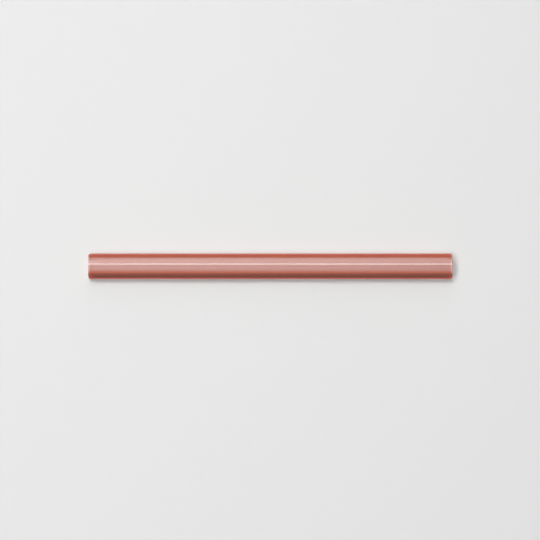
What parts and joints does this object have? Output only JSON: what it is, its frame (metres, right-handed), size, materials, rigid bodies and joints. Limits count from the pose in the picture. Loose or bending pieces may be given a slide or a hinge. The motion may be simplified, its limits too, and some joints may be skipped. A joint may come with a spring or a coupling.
{
  "type": "omega moulding tile",
  "caption": "Slim glazed ceramic trim strip: a domed bead with sloping sides between two narrow feet, and a flat keyed back.",
  "frame": {"origin": "centre of the flat back, on the plane that the strip rests on", "axes": "+X along the strip, +Y across its width, +Z out of the glazed face"},
  "size_m": [0.2, 0.014, 0.008],
  "materials": {
    "glaze": "high gloss dusty red glaze on the face, sides and ends, bare biscuit on the back"
  },
  "bodies": {
    "root": {"moulding": "glaze"}
  },
  "joints": []
}
